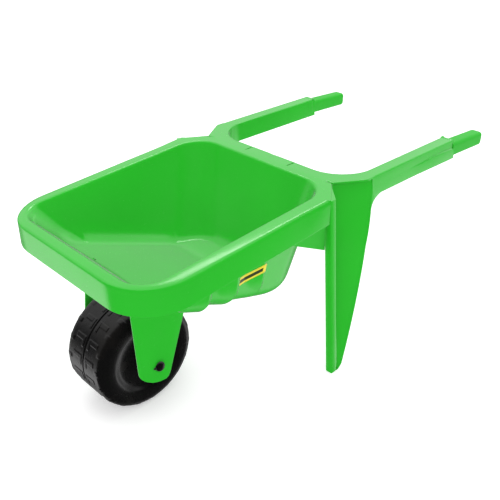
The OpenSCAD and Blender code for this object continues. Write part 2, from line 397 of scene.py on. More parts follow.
def green_plastic():
    """Glossy moulded polypropylene: slow clouds of tint, a fine waviness of the skin, and light scuffs."""
    look = bpy.context.scene.wheelbarrow_finish
    f = Finish("green_plastic", IOR=1.49)
    cloud = f.noise(9, 2)
    grain = f.noise(900, 2)
    scuff = f.noise(160, 4, (1, 6, 6)).over(0.60, 0.78)
    tint = f.mix(cloud, rgba(look.green, 0.93), rgba(look.green, 1.06))
    tint = f.mix(scuff * 0.12, tint, rgba((0.05, 0.53, 0.05)))
    f.set(Base_Color=tint, Roughness=f.noise(30, 3) * 0.08 + scuff * 0.10 + (look.gloss - 0.04))
    return f.bump(grain * 0.4 + f.noise(55, 2), 0.18, 0.0006).material


def green_matte():
    """The same plastic with a fine matt grain, as on the grips and the gussets."""
    look = bpy.context.scene.wheelbarrow_finish
    f = Finish("green_matte", IOR=1.49, Specular_IOR_Level=0.2)
    f.set(Base_Color=f.mix(f.noise(14, 3), rgba(look.green, 0.93), rgba(look.green, 1.05)),
          Roughness=f.noise(250, 3) * 0.12 + 0.42)
    return f.bump(f.noise(1100, 2), 0.25, 0.0003).material


def black_plastic():
    """Dark moulded plastic with a soft gloss, dusty in patches and finely pitted."""
    look = bpy.context.scene.wheelbarrow_finish
    f = Finish("black_plastic", IOR=1.5, Specular_IOR_Level=0.22)
    dust = f.noise(26, 5).over(0.50, 0.75)
    f.set(Base_Color=f.mix(dust * 0.5, rgba(look.black), rgba((0.011, 0.009, 0.007))),
          Roughness=dust * 0.16 + 0.24)
    return f.bump(f.noise(700, 3) * 0.6 + f.noise(70, 2), 0.3, 0.0006).material


def axle_steel():
    """Drawn steel rod: fine lines along the rod and faint stains."""
    look = bpy.context.scene.wheelbarrow_finish
    f = Finish("axle_steel", Metallic=1.0)
    lines = f.noise(1500, 2, (1, 0.02, 1))
    f.set(Base_Color=f.mix(f.noise(60, 4), rgba(look.steel, 0.8), rgba(look.steel)),
          Roughness=lines * 0.2 + 0.22)
    return f.bump(lines, 0.15, 0.0002).material


def pale_plastic():
    """Milky slippery plastic of the sleeve and spacers, a little yellowed in patches."""
    look = bpy.context.scene.wheelbarrow_finish
    f = Finish("pale_plastic", IOR=1.52)
    f.set(Base_Color=f.mix(f.noise(80, 3), rgba(look.pale), rgba((0.62, 0.56, 0.42))),
          Roughness=f.noise(200, 3) * 0.15 + 0.35)
    return f.bump(f.noise(900, 2), 0.2, 0.0003).material


def label_film():
    """Printed film: a dark outline and one dark bar on a bright ground, read from the film's own map."""
    look = bpy.context.scene.wheelbarrow_finish
    f = Finish("label_film", IOR=1.5)
    uv = f.node("ShaderNodeSeparateXYZ", {}, {0: f.place(at="UV")}, "X")
    across = Wire(f, uv.socket.node.outputs["Y"])
    side, edge = abs(uv - 0.5), abs(across - 0.5)
    bar = (1 - side.over(0.36, 0.375)) * (1 - edge.over(0.21, 0.25))
    frame_line = 1 - (1 - side.over(0.463, 0.470)) * (1 - edge.over(0.40, 0.43))
    inner = (1 - side.over(0.476, 0.483)) * (1 - edge.over(0.45, 0.48))
    ink = f.node("ShaderNodeMath", {"operation": "MAXIMUM"}, {0: bar, 1: frame_line * inner * 0.55})
    ground = f.mix(f.noise(300, 3), rgba(look.label, 0.92), rgba(look.label, 1.08))
    f.set(Base_Color=f.mix(ink, ground, rgba(look.ink)), Roughness=f.noise(120, 3) * 0.1 + 0.25)
    return f.bump(f.noise(900, 2) + ink * 0.5, 0.15, 0.0002).material


MAKERS = {
    "green_plastic": green_plastic, "green_matte": green_matte, "black_plastic": black_plastic,
    "axle_steel": axle_steel, "pale_plastic": pale_plastic, "label_film": label_film}


def finish(name):
    """The finish of that name, made once."""
    made = bpy.data.materials.get("finish_" + name)
    return made or MAKERS[name]()


# ---- tub ----

# Places in the tub, in the rim's frame: u from the front of the rim, y from the middle, d down
QUARTER = np.linspace(0, math.pi / 2, 19)
SIDE_START, SIDE_END = 104, 262             # the straight side between its front and rear corners
OPEN_U, OPEN_END, OPEN_Y = 19.5, 361.5, 143.5
OPEN_R = (38, 48)                           # front and rear corners of the opening
LOW_U, LOW_END = 69.0, 315.0                # where the floor meets the front and the rear wall
LOW_R = (32, 52)                            # front and rear corners of the floor
DEEPEST, FLOOR_SLOPE = 149, 0.4515
WALL_LEAN = 0.185                           # how far a side wall leans in, for each mm down
RIB_FRONTS = (82, 133, 184)
RIB_RISE, RIB_END = 43, 9                   # length of a rib's rise and of its rounded end
RIB_ROOT = 148                              # half width of the tub's side at the rim, on its outside
NO_RIB = -50
SLICE_Y, SLICE_D = 60, 40                   # middle of the corner that bounds a rib


def floor_depth(u):
    """Depth of the tub's floor below the rim: a slope that turns level towards the rear."""
    rest = DEEPEST - (72.9 + (u - 88) * FLOOR_SLOPE)
    return DEEPEST - 0.5 * (rest + np.sqrt(rest**2 + 36))


def rib_stations():
    """Distances along the side, close enough together for the ends of the ribs."""
    return np.linspace(SIDE_START, SIDE_END, 133)


def stretches():
    """Shares from 0 to 1 along the front or rear, the front end and the rear end of the side. The first
    two stop short of 1 and the last starts after 0."""
    return np.linspace(0, 1, 17)[:-1], np.linspace(0, 1, 11)[:-1], np.linspace(0, 1, 9)[1:]


def tub_lines():
    """The tub's two guiding half loops: its edge at the top, and the corner between wall and floor.
    Returns (top u, top y), (low u, low y) and the outward direction in plan."""
    q, side = QUARTER, rib_stations()
    t, a, b = stretches()
    back = 1 - t - 1 / len(t)
    half = lambda u: OPEN_Y - 0.175 * floor_depth(u)
    (r1, r2), (r3, r4) = OPEN_R, LOW_R
    bend1, bend2 = OPEN_U + r1, OPEN_END - r2
    top_u = np.concatenate([0 * t + OPEN_U, (bend1 - r1 * np.cos(q))[:-1], bend1 + a * (SIDE_START - bend1),
                            side, SIDE_END + b * (bend2 - SIDE_END), (bend2 + r2 * np.sin(q))[1:],
                            OPEN_END + 0 * t])
    top_y = np.concatenate([t * (OPEN_Y - r1), (OPEN_Y - r1 + r1 * np.sin(q))[:-1], OPEN_Y + 0 * a,
                            OPEN_Y + 0 * side, OPEN_Y + 0 * b, (OPEN_Y - r2 + r2 * np.cos(q))[1:],
                            (OPEN_Y - r2) * back])
    front, rear = LOW_U + r3 - r3 * np.cos(q), LOW_END - r4 + r4 * np.sin(q)
    start = LOW_U + r3 + a * (SIDE_START - LOW_U - r3)
    stop = SIDE_END + b * (LOW_END - r4 - SIDE_END)
    low_u = np.concatenate([0 * t + LOW_U, front[:-1], start, side, stop, rear[1:], LOW_END + 0 * t])
    low_y = np.concatenate([t * (half(LOW_U) - r3), (half(front) - r3 * (1 - np.sin(q)))[:-1], half(start),
                            half(side), half(stop), (half(rear) - r4 * (1 - np.cos(q)))[1:],
                            (half(LOW_END) - r4) * back])
    out_u = np.concatenate([0 * t - 1, -np.cos(q)[:-1], 0 * a, 0 * side, 0 * b, np.sin(q)[1:], 0 * t + 1])
    out_y = np.sqrt(1 - out_u**2)
    return (top_u, top_y), (low_u, low_y), (out_u, out_y)


def rib_height(u):
    """Height of the ribs along the side: a straight rise, then a quarter ellipse down."""
    height = np.full(np.shape(u), float(NO_RIB))
    out = mm("rib_out") + 2
    for u0 in RIB_FRONTS:
        x = u - u0
        rise = -2 + out * x / RIB_RISE
        fall = -2 + out * np.sqrt(np.clip(1 - ((x - RIB_RISE) / RIB_END) ** 2, 0, 1))
        fall = np.where((x > RIB_RISE) & (x < RIB_RISE + RIB_END), fall, NO_RIB)
        height = np.maximum(height, np.where((x > -8) & (x <= RIB_RISE), rise, fall))
    return height


def with_ribs(u, y, d):
    """Moves points of the outer skin out to the ribs. In a slice across the tub, a rib is bounded by a
    leaning side and a bottom that follows the floor; the two are joined by a power mean, which rounds
    the corner, and each point moves along its line from the middle of the corner. Towards the bottom
    the ribs end earlier, by a quarter round of 34 by 24 mm."""
    high, early, power = 34, 24, 4.5
    low = 151 - (SIDE_END - u) * 0.357
    t = np.clip((d - low + high) / high, 0, 1)
    g = rib_height(u + early * (1 - np.sqrt(1 - t**2)))
    dy, dd = y - SLICE_Y, d - SLICE_D
    r = np.hypot(dy, dd)
    cy, cd = dy / r, dd / r
    reach = np.maximum(RIB_ROOT + g - SLICE_Y - WALL_LEAN * SLICE_D, 1)
    side = reach / np.maximum(cy + WALL_LEAN * cd, 0.02)
    bottom = np.maximum(low + g - SLICE_D, 1) / np.maximum(cd, 0.02)
    gap = (side**-power + bottom**-power) ** (-1 / power) - r
    move = 0.5 * (gap + np.sqrt(gap**2 + 0.5)) * smooth(d, 26, 40) * smooth(u, 78, 94) * (g > -10)
    return SLICE_Y + cy * (r + move), SLICE_D + cd * (r + move)


def tub_skin(outer):
    """One skin of the tub as a grid: each column goes down the straight wall, round the corner by a
    quadratic curve, and along the floor to the middle line. Returns the y >= 0 half, front to rear."""
    (tu, ty), (lu, ly), (nu, ny) = tub_lines()
    wall = mm("wall") if outer else 0.0
    tu, ty = tu + nu * wall, ty + ny * wall
    lu, ly = lu + nu * wall * 0.8, ly + ny * wall
    depth = lambda u: floor_depth(u) + wall * 1.06
    ld = depth(lu)
    cut = 11 * nu**2 * (nu < 0) + 24 * ny**2 + 24 * nu**2 * (nu > 0) + wall * 0.5
    middle = np.clip(lu, 110, SIDE_END)
    wall_len = np.sqrt((tu - lu) ** 2 + (ty - ly) ** 2 + ld**2)
    floor_len = np.hypot(middle - lu, ly)
    rise = cut if outer else cut * (1 + 0.8 * ny**2)
    start, stop = mm("lip_r") / ld, 1 - rise / wall_len
    t = np.linspace(0, 1, 36 if outer else 12)[:, None]
    k = start + (stop - start) * t
    down = xyz(tu + (lu - tu) * k, ty + (ly - ty) * k, ld * k)
    k = (cut / floor_len) + (1 - cut / floor_len) * np.linspace(0, 1, 26)[:, None]
    fu, fy = lu + (middle - lu) * k, ly * (1 - k)
    along = xyz(fu, fy, depth(fu))
    t = np.linspace(0, 1, 30 if outer else 16)[1:-1, None, None]
    corner = xyz(lu, ly, ld)
    bend = (1 - t) ** 2 * down[-1] + 2 * t * (1 - t) * corner + t**2 * along[0]
    grid = np.concatenate([down, bend, along]).transpose(1, 0, 2)
    if outer:
        y, d = with_ribs(grid[..., 0], grid[..., 1], grid[..., 2])
        grid = xyz(grid[..., 0], np.maximum(y, 0), d)
        grid[:, -1, 1] = 0
    return grid


class WHEELBARROW_OT_tub(bpy.types.Operator):
    """Builds the tub: a smooth inner skin and an outer skin with three stepped ribs."""

    bl_idname = "wheelbarrow.tub"
    bl_label = "Tub"
    bl_options = {"REGISTER", "UNDO"}

    def execute(self, context):
        inner, outer = whole(tub_skin(False)), whole(tub_skin(True))
        grid = np.concatenate([inner[:, ::-1], outer], 1)
        points = on_deck(grid[..., 0], grid[..., 1], -grid[..., 2])
        shell = Shape().sheet(points, True, False).build("tub_shell", finish("green_plastic"), "barrow",
                                                         "green_plastic", "tub", sharp=60)
        shell.visible_diffuse = False
        return {"FINISHED"}


# ---- rim ----

NOTCH_U = 333       # where the deep edge of the rim ends, in front of the leg
CROWN = 2.2         # how far the rim's long outer edge is rounded down

def rim_edge():
    """Outer edge of the rim as the y >= 0 half, matched column by column to the tub's edge, with the
    outward direction and the depth of the edge there. The deep edge ends at the leg, where a notch
    begins."""
    q, r = QUARTER, mm("corner_r")
    side = rib_stations()
    t, a, b = stretches()
    end_u = (SPLIT_X - FRONT_X) / math.cos(RISE)
    notch_u, notch_y, rear_y = NOTCH_U, HALF_W - 34, OPEN_Y - OPEN_R[1]
    s = np.linspace(0, 1, len(q))[1:]
    su = np.interp(s, [0, 0.12, 0.70, 1], [notch_u, notch_u, end_u, end_u])
    sy = np.interp(s, [0, 0.12, 0.70, 1], [HALF_W, HALF_W, notch_y, rear_y])
    u = np.concatenate([0 * t, (r - r * np.cos(q))[:-1], r + a * (SIDE_START - r), side,
                        SIDE_END + b * (notch_u - SIDE_END), su, end_u + 0 * t])
    y = np.concatenate([t * (HALF_W - r), (HALF_W - r + r * np.sin(q))[:-1], HALF_W + 0 * a,
                        HALF_W + 0 * side, HALF_W + 0 * b, sy, rear_y * (1 - t - 1 / len(t))])
    nu = np.concatenate([0 * t - 1, -np.cos(q)[:-1], 0 * a, 0 * side, 0 * b,
                         np.where(s < 0.12, 0, 0.62), 0 * t + 1])
    deep = (np.arange(len(u)) < len(u) - len(s) - len(t)) * 1.0
    return u, y, nu, np.sqrt(1 - nu**2), deep


class WHEELBARROW_OT_rim(bpy.types.Operator):
    """Builds the rim: a flat top with a round lip into the tub and a deep rolled edge outside."""

    bl_idname = "wheelbarrow.rim"
    bl_label = "Rim"
    bl_options = {"REGISTER", "UNDO"}

    def execute(self, context):
        (tu, ty), (lu, ly), (nu, ny) = tub_lines()
        ld = floor_depth(lu)
        wall, lip, skirt = mm("wall"), mm("lip_r"), mm("skirt")
        u, y, mu, my, deep = rim_edge()
        k = lip / ld
        low = lambda extra: (tu + (lu - tu) * k + nu * extra, ty + (ly - ty) * k + ny * extra)
        iu, iy = low(0)
        ou, oy = low(wall)
        fall = wall + (skirt - wall) * deep
        back_u, back_y = u - mu * wall, y - my * wall
        lean = mm("draft") * deep * (1 - smooth(u, 270, NOTCH_U))
        crown = smooth(my, 0.2, 0.9) * (1 - 0.75 * smooth(u, 60, 260)) * (1 - smooth(u, 300, NOTCH_U))
        bu, by = u - mu * lean, y - my * lean
        keys = np.stack([
            xyz(iu, iy, -lip), xyz(tu, ty, 0), xyz(tu + (bu - tu) * 0.5, ty + (by - ty) * 0.5, 0),
            xyz(bu, by, -CROWN * crown), xyz(u, y, -fall), xyz(back_u, back_y, -fall),
            xyz(back_u - mu * lean, back_y - my * lean, -wall - CROWN * crown),
            xyz(tu + nu * wall * 0.9, ty + ny * wall * 0.9, -wall), xyz(ou, oy, -lip)], 1)
        edge = np.where(deep > 0, mm("crease_r") * (1 + 0.95 * crown), np.where(mu > 0.9, 0.0, 2.0))
        edge = np.where(u > u.max() - 0.05, 0.0, edge)
        cut = np.tile([0, lip * 0.8, 9, 0, 1.2, 0.8, 1.5, 1.5, 0], (len(u), 1))
        cut[:, 3] = edge
        grid = whole(fillet(keys, cut, 8))
        points = on_deck(grid[..., 0], grid[..., 1], grid[..., 2])
        rim = Shape().sheet(points, True, True).build("rim_moulding", finish("green_plastic"), "barrow",
                                                      "green_plastic", "rim")
        rim.visible_diffuse = False
        return {"FINISHED"}


# ---- rear bridge, arms and grips ----

BRIDGE_W, BRIDGE_D = 20, 28     # the rear flange and its wall, which the roots of the arms carry on
ROOT_Y, ROOT_R = 46, 60         # where an arm begins, and the inner radius of its bend
ARM_OUT = 165.0                 # outer side of an arm

class WHEELBARROW_OT_bridge(bpy.types.Operator):
    """Builds the plate between the arms, with its rear wall and a shallow dent in the middle."""

    bl_idname = "wheelbarrow.bridge"
    bl_label = "Rear bridge"
    bl_options = {"REGISTER", "UNDO"}

    def execute(self, context):
        y = runs((-46, -44.6, 7), (-44.6, -16, 8), (-16, 16, 20), (16, 44.6, 8), (44.6, 46, 7))
        gap = 4 * smooth(np.abs(y), 44.8, 45.4)
        dent = 0.7 * np.exp(-(y / 7) ** 2)
        wide, tall, wall = BRIDGE_W - gap * 0.4, BRIDGE_D, mm("wall")
        keys = np.stack([
            xyz(0, y, 0), xyz(4, y, -gap), xyz(13, y, -gap - dent), xyz(wide, y, -gap - dent * 0.5),
            xyz(wide, y, -tall), xyz(BRIDGE_W - wall, y, -tall), xyz(BRIDGE_W - wall, y, -wall),
            xyz(0, y, -wall)], 1)
        grid = fillet(keys, np.array([0, 1.5, 1.5, 2.5, 0.8, 0.5, 1, 0.0]), 5)
        points = on_arms(grid[..., 0], grid[..., 1], grid[..., 2])
        plate = Shape().sheet(points, ends=True)
        plate.build("bridge_plate", finish("green_plastic"), "barrow", "green_plastic", "rear_bridge")
        return {"FINISHED"}


def arm_grid():
    """Grid of the right arm. Sections follow the inner edge, which runs along the rear, turns through a
    quarter circle and goes straight to the end; each section's outer edge is matched on the outline.
    The first two sections are close together, for the seam beside the bridge."""
    end, bend = ARM_END - SPLIT_X, BRIDGE_W + ROOT_R
    w, d, wall = mm("arm_w"), mm("arm_d"), mm("wall")
    out, inn = ARM_OUT, ARM_OUT - w
    turn_y = inn - ROOT_R
    a = np.array([0, 0.03, *np.linspace(0, 1, 9)[2:-1]])
    q = np.linspace(0, math.pi / 2, 27)
    x = bend + runs((0, 4, 2), (4, end - bend - 8, 40), (end - bend - 8, end - bend, 16))[1:]
    iu = np.concatenate([BRIDGE_W + 0 * a, bend - ROOT_R * np.cos(q), x])
    iy = np.concatenate([ROOT_Y + a * (turn_y - ROOT_Y), turn_y + ROOT_R * np.sin(q), inn + 0 * x])
    s = q / q[-1]
    outer_u = np.interp(s, [0, 0.30, 0.60, 0.78, 0.79, 1], [0, 0, 46, 60, 60.4, bend])
    outer_y = np.interp(s, [0, 0.30, 0.60, 1], [turn_y, 136, out, out])
    ou = np.concatenate([0 * a, outer_u, x])
    oy = np.concatenate([ROOT_Y + a * (turn_y - ROOT_Y), outer_y, out + 0 * x])
    beam = np.concatenate([0 * a, (s > 0.785) * 1.0, 1 + 0 * x])
    side = unit(np.stack([ou - iu, oy - iy], -1))
    hu, hy = side[:, 0], side[:, 1]
    gap = np.concatenate([2.4 * (1 - smooth(a, 0, 0.03)), 0 * q, 0 * x])
    gap = gap + 0.8 * np.exp(-(((ou - end + 5) / 0.7) ** 2))
    proud = 2.6 * smooth(ou, 150, end)
    flare = 2 * beam
    arch = 14 - 2.0 * np.sin(np.clip((ou - 190) / (end - 190), 0, 1) * math.pi)
    arch = np.where(beam > 0, arch, wall * 0.3)
    deep = wall + (d - wall) * beam
    inner_d = BRIDGE_D + (d - BRIDGE_D) * beam
    ledge = np.minimum(arch + 1.2 * beam + 0.1, deep)

    def key(base_u, base_y, shift, depth):
        return xyz(base_u + hu * shift, base_y + hy * shift, -depth)

    keys = np.stack([
        key(iu, iy, gap * 0.4, gap), key(iu + (ou - iu) * 0.8, iy + (oy - iy) * 0.8, 0, gap),
        key(ou, oy, 0, 0), key(ou, oy, flare * 0.35, arch), key(ou, oy, flare * 0.4 + proud, ledge),
        key(ou, oy, flare + proud, deep), key(iu, iy, wall, deep),
        key(iu, iy, wall * (1 - beam) + 1.5 * beam, inner_d), key(iu, iy, -flare, inner_d)], 1)
    cut = np.tile([3.0, 0.5, 0, 0.7, 0.7, 2.0, 1.0, 1.0, 1.0], (len(iu), 1))
    cut[:, 2] = np.where(ou < 0.5, 0.0, 2.4)
    grid = fillet(keys, cut, 5)
    return on_arms(grid[..., 0], grid[..., 1], grid[..., 2])


def arm_shape():
    """The right arm, with a low bump on the top of its end."""
    u, v = np.linspace(0, 1, 9)[:, None], np.linspace(0, 1, 9)[:-1]
    rise = np.sin(u * math.pi / 2) * (0.4 + 0.6 * np.sin(v * math.pi) ** 2)
    bump = xyz(ARM_END - 12 + 12 * u, 147 + 3 * np.cos(v * 2 * math.pi), DECK_Z - 4 + 3.9 * rise)
    return Shape().sheet(arm_grid(), ends=True).sheet(bump, ends=True)


class WHEELBARROW_OT_arms(bpy.types.Operator):
    """Builds the two arms with their curved roots and the raised lower band at their ends."""

    bl_idname = "wheelbarrow.arms"
    bl_label = "Arms"
    bl_options = {"REGISTER", "UNDO"}

    def execute(self, context):
        both_sides(arm_shape, "{}_arm_moulding", "green_plastic", "barrow", "green_plastic", "{}_arm")
        return {"FINISHED"}


class WHEELBARROW_OT_grips(bpy.types.Operator):
    """Builds the two grips: rounded square bars with closed, softened ends."""

    bl_idname = "wheelbarrow.grips"
    bl_label = "Grips"
    bl_options = {"REGISTER", "UNDO"}

    def execute(self, context):
        half = mm("grip_d") / 2
        mid_y, mid_z, tilt = (GRIP_LO[1] + GRIP_HI[1]) / 2, DECK_Z - 19, math.radians(3)
        total = (GRIP_HI[0] - ARM_END) / math.cos(tilt) - 0.8
        bend = np.linspace(0, math.pi / 2, 7)
        x = np.concatenate([[-3, 0], np.linspace(8, total - 12, 8), total - 4 + 4 * np.sin(bend)])
        shrink = np.concatenate([np.zeros(10), 4 * (1 - np.cos(bend))]) + 0.6 * np.clip(x / total, 0, 1)
        h = (half - shrink)[:, None]
        cy = np.array([1, -1, -1, 1]) * h
        cz = np.array([1, 1, -1, -1]) * h
        grid = fillet(xyz(x[:, None], cy, cz), np.maximum(7.5 - shrink, 2.5)[:, None], 8)
        c, s = math.cos(tilt), math.sin(tilt)
        points = xyz(ARM_END + grid[..., 0] * c + grid[..., 2] * s, mid_y + grid[..., 1],
                     mid_z - grid[..., 0] * s + grid[..., 2] * c)
        both_sides(lambda: Shape().sheet(points, ends=True), "{}_grip_bar", "green_matte", "barrow",
                   "green_plastic", "{}_grip", sharp=50)
        return {"FINISHED"}


# ---- legs ----


def leg_grid():
    """Grid of the right leg: a closed section carried up the height. The section is a narrow post at the
    front, a V-shaped scoop open to the outside, and a thin lip at the rear. The rear edge is a quadratic
    curve of height, and a quarter round widens it under the arm."""
    foot = np.array([0, 0.8, 2.2, 4.5, 8])
    z = np.concatenate([foot, np.linspace(12, 236, 36), np.linspace(240, 267, 14),
                        [272, 280, 288, 294.5]])
    t = np.linspace(0, 1, 200)
    curve_z = 2 * t * (1 - t) * 150 + t**2 * 292
    curve_x = (1 - t) ** 2 * -20 + 2 * t * (1 - t) * 42 + t**2 * 55
    rear = np.interp(z, curve_z, curve_x)
    rear = rear - 7 * np.clip(1 - z / 8, 0, 1) ** 2
    rear = rear + 8 * smooth(z, 190, 250)
    lip = rear - 4
    under, round_r = DECK_Z - mm("arm_d") - 1, 22
    up = np.clip(z - (under - round_r), 0, round_r) / round_r
    rear = rear + round_r * (1 - np.sqrt(np.clip(1 - up**2, 0, 1)))
    outer = FOOT_Y - LEAN * z
    flush = outer + (ARM_OUT + (DECK_Z - z) / 16 - 0.2 - outer) * smooth(z, 200, 262)
    k = 1 - z / LEG_TOP
    deep_x, deep_y = 1 - 29 * k, 133.5 + 55 * k
    behind = np.minimum(deep_y - 3.2, outer - 9)
    post = LEG_X + 11
    keys = np.stack([
        xyz(LEG_X, outer, z), xyz(post, outer, z), xyz(deep_x, deep_y, z), xyz(lip, flush - 1.6, z),
        xyz(lip + 1.4, flush, z), xyz(rear, flush, z), xyz(rear, flush - 7, z), xyz(lip, flush - 7, z),
        xyz(deep_x + 2.2, behind, z), xyz(deep_x - 2.2, behind, z), xyz(post - 3.5, outer - 12, z),
        xyz(LEG_X, outer - 12, z)], 1)
    return fillet(keys, np.array([1.2, 1.2, 5, 1.0, 0.8, 1.2, 1.2, 1.0, 2, 2, 2, 1.2]), 4)


class WHEELBARROW_OT_legs(bpy.types.Operator):
    """Builds the two splayed legs with their scooped sides."""

    bl_idname = "wheelbarrow.legs"
    bl_label = "Legs"
    bl_options = {"REGISTER", "UNDO"}

    def execute(self, context):
        both_sides(lambda: Shape().sheet(leg_grid(), ends=True), "{}_leg_moulding", "green_plastic",
                   "barrow", "green_plastic", "{}_leg", sharp=40)
        return {"FINISHED"}


# ---- fork ----


class WHEELBARROW_OT_fork(bpy.types.Operator):
    """Builds the two cheeks of the fork: softened plates that stand wider apart at the axle than at the
    tub, with a boss for the axle."""

    bl_idname = "wheelbarrow.fork"
    bl_label = "Fork cheeks"
    bl_options = {"REGISTER", "UNDO"}

    def execute(self, context):
        corners = np.array([[-296, 216], [-314, 184], [-319, 80], [-310, 69], [-298, 61], [-284, 57],
                            [-273, 57], [-267, 64], [-227, 146], [-216, 172], [-215.5, 179],
                            [-306, 215]], float)
        keys = xyz(corners[:, 0], 0, corners[:, 1])[None]
        flat = fillet(keys, np.array([1, 8, 8, 5, 5, 6, 5, 7, 12, 5, 1, 5.0]), 6)[0][:, [0, 2]]
        thick, r = 3.5, 1.1
        a = np.linspace(0, math.pi / 2, 5)
        y = np.concatenate([r * (1 - np.sin(a[::-1])), thick - r + r * np.sin(a)])
        back = np.concatenate([r * (1 - np.cos(a[::-1])), r * (1 - np.cos(a))])
        rings = np.stack([inset(flat, b) for b in back])
        tilt = math.radians(8)
        face = AXLE_HI[1] - 2
        dy, dz = -y[:, None], rings[..., 1] - WHEEL_Z
        plate = xyz(rings[..., 0], face + dy * math.cos(tilt) - dz * math.sin(tilt),
                    WHEEL_Z + dy * math.sin(tilt) + dz * math.cos(tilt))
        boss = lathe(np.array([4.1, 10, 11, 11, 4.1]), np.array([64.5, 64.5, 65.3, 68, 68]))
        both_sides(lambda: Shape().sheet(plate, ends=True).sheet(boss, close_n=True), "{}_cheek_plate",
                   "green_plastic", "barrow", "green_plastic", "{}_fork_cheek")
        return {"FINISHED"}


# ---- wheel ----


def wheel_half():
    """Half of the wheel: a closed outline of radius and width turned round the axle. On the tread the radius
    grows by the blocks, which are L-shaped, with soft edges, and repeat round the wheel."""
    high, half, lugs = mm("tread"), mm("tyre_w") / 2, bpy.context.scene.wheelbarrow_sizes.lugs
    base = WHEEL_R - high
    disc = half - 7
    arc = np.linspace(0, math.pi / 2, 15)
    tread = runs((1.6, 3.4, 3), (3.4, 5.0, 5), (5.0, 8.0, 3), (8.0, 10.0, 6), (10.0, 24.0, 10),
                 (24.0, 26.0, 5), (26.0, half - 12, 5))
    wall_r = [66, 62, 58, 56, 54.5, 53, 51, 49, 47.5]
    wall_y = half - np.array([0, 0.2, 0.6, 1, 1.6, 2.6, 4.2, 5.6, 6.5])
    disc_r = [45, 38, 28, 22, 17, 14, 12.7, 12]
    disc_y = disc + np.array([0, -0.8, -0.4, 0, 0.6, 2.4, 6, 14])
    r = np.concatenate([[base - 4, base - 2.2, base - 1.0], base + 0 * tread,
                        base - 12 + 12 * np.cos(arc)[1:], wall_r, disc_r, [12, 11.4, 7.1, 7.1, 40]])
    y = np.concatenate([[0.15, 0.35, 0.9], tread, half - 12 + 12 * np.sin(arc)[1:], wall_y, disc_y,
                        [61.2, 62, 62, 0.15, 0.15]])
    theta = np.linspace(0, 2 * math.pi, 721)[:-1]
    t = (theta * lugs / (2 * math.pi) % 1 - 0.5)[:, None] * 2 * math.pi * WHEEL_R / lugs
    yy = y[None]
    soft = lambda v, a, b: smooth(v, a - 0.5, a + 0.5) * (1 - smooth(v, b - 0.5, b + 0.5))
    long = soft(t, -8, -1) * smooth(yy, 8.4, 9.4) * (1 - smooth(yy, 24.4, 25.6))
    short = soft(t, -8, 8) * smooth(yy, 3.6, 4.6) * (1 - smooth(yy, 8.4, 9.4))
    block = np.maximum(long, short) * (r > base - 0.5)[None]
    shoulder = soft(t, 1.5, 8) * smooth(yy, half - 18, half - 15)
    shoulder = shoulder * (1 - smooth(yy, half - 4, half - 1.5))
    block = np.maximum(block, shoulder * 0.7 * (r > base - 9)[None])
    rr = r[None] + high * block
    return xyz(WHEEL_X + rr * np.cos(theta)[:, None], yy, WHEEL_Z + rr * np.sin(theta)[:, None])


class WHEELBARROW_OT_wheel(bpy.types.Operator):
    """Builds the two halves of the wheel, with their tread, dished sides and hubs."""

    bl_idname = "wheelbarrow.wheel"
    bl_label = "Wheel"
    bl_options = {"REGISTER", "UNDO"}

    def execute(self, context):
        both_sides(lambda: Shape().sheet(wheel_half(), close_n=True), "{}_wheel_shell", "black_plastic",
                   "wheel", "black_plastic", "wheel_{}_half", sharp=50)
        return {"FINISHED"}


class WHEELBARROW_OT_caps(bpy.types.Operator):
    """Builds the two domed caps on the axle, each with a small tab."""

    bl_idname = "wheelbarrow.caps"
    bl_label = "Axle caps"
    bl_options = {"REGISTER", "UNDO"}

    def execute(self, context):
        face = AXLE_HI[1] - 2
        a = np.linspace(0, math.pi / 2, 9)
        r = np.concatenate([[4.1, 7.2, 7.5, 7.5], 7.2 * np.cos(a)[:-1], [0.05]])
        y = face + np.concatenate([[0.02, 0.02, 0.3, 2.2], 2.5 + 3 * np.sin(a)])
        dome = lathe(r, y)
        keys = np.array([[[-10.2, h, -1.8 + e], [-10.2, h, 1.8 - e], [-6, h, 1.8 - e], [-6, h, -1.8 + e]]
                         for h, e in ((0, 0), (1.1, 0), (1.5, 0.5))], float)
        tab = fillet(keys, 0.8, 4) + [WHEEL_X, face, WHEEL_Z]
        both_sides(lambda: Shape().sheet(dome, ends=True).sheet(tab, ends=True), "{}_axle_cap_dome",
                   "black_plastic", "barrow", "black_plastic", "{}_axle_cap", sharp=40)
        return {"FINISHED"}


# ---- label and carried-over parts ----


